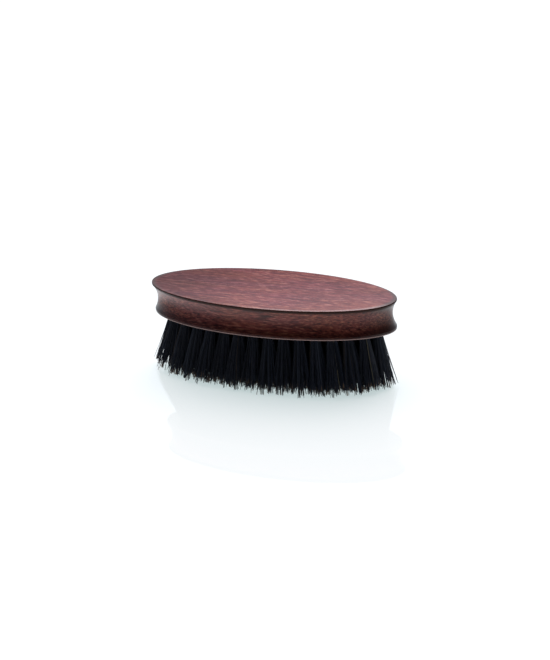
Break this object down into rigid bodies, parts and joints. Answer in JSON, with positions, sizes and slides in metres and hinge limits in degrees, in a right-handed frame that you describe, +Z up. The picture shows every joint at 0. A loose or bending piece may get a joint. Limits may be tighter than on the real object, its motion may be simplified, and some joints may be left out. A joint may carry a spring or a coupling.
{
  "type": "beard brush",
  "caption": "Oval handheld beard brush: a flat-backed stained hardwood block with a coved side, filled with fanned tufts of black boar bristle.",
  "frame": {"origin": "middle of the plane of the inner tufts' bristle tips, which the brush stands on", "axes": "+X along the block, +Z up out of the flat wooden back"},
  "size_m": [0.1, 0.038, 0.0358],
  "materials": {
    "stained_wood": "satin varnish over a red-brown stain, fine beech fleck",
    "boar_bristle": "black natural bristle with a soft sheen, a few brown tips",
    "anchor_wire": "drawn flat wire"
  },
  "bodies": {
    "root": {"block": "stained_wood", "tuft_outer_01": "boar_bristle", "tuft_outer_02": "boar_bristle", "tuft_outer_03": "boar_bristle", "tuft_outer_04": "boar_bristle", "tuft_outer_05": "boar_bristle", "tuft_outer_06": "boar_bristle", "tuft_outer_07": "boar_bristle", "tuft_outer_08": "boar_bristle", "tuft_outer_09": "boar_bristle", "tuft_outer_10": "boar_bristle", "tuft_outer_11": "boar_bristle", "tuft_outer_12": "boar_bristle", "tuft_outer_13": "boar_bristle", "tuft_outer_14": "boar_bristle", "tuft_outer_15": "boar_bristle", "tuft_outer_16": "boar_bristle", "tuft_outer_17": "boar_bristle", "tuft_outer_18": "boar_bristle", "tuft_outer_19": "boar_bristle", "tuft_outer_20": "boar_bristle", "tuft_outer_21": "boar_bristle", "tuft_outer_22": "boar_bristle", "tuft_outer_23": "boar_bristle", "tuft_outer_24": "boar_bristle", "tuft_outer_25": "boar_bristle", "tuft_outer_26": "boar_bristle", "tuft_outer_27": "boar_bristle", "tuft_outer_28": "boar_bristle", "tuft_outer_29": "boar_bristle", "tuft_outer_30": "boar_bristle", "tuft_inner_01": "boar_bristle", "tuft_inner_02": "boar_bristle", "tuft_inner_03": "boar_bristle", "tuft_inner_04": "boar_bristle", "tuft_inner_05": "boar_bristle", "tuft_inner_06": "boar_bristle", "tuft_inner_07": "boar_bristle", "tuft_inner_08": "boar_bristle", "tuft_inner_09": "boar_bristle", "tuft_inner_10": "boar_bristle", "tuft_inner_11": "boar_bristle", "tuft_inner_12": "boar_bristle", "tuft_inner_13": "boar_bristle", "tuft_inner_14": "boar_bristle", "tuft_inner_15": "boar_bristle", "tuft_inner_16": "boar_bristle", "tuft_inner_17": "boar_bristle", "tuft_inner_18": "boar_bristle", "tuft_inner_19": "boar_bristle", "tuft_inner_20": "boar_bristle", "tuft_inner_21": "boar_bristle", "tuft_inner_22": "boar_bristle", "tuft_inner_23": "boar_bristle", "tuft_inner_24": "boar_bristle", "tufts_centre_row": "boar_bristle", "anchors_outer_ring": "anchor_wire", "anchors_inner_ring": "anchor_wire", "anchors_centre_row": "anchor_wire"}
  },
  "joints": []
}
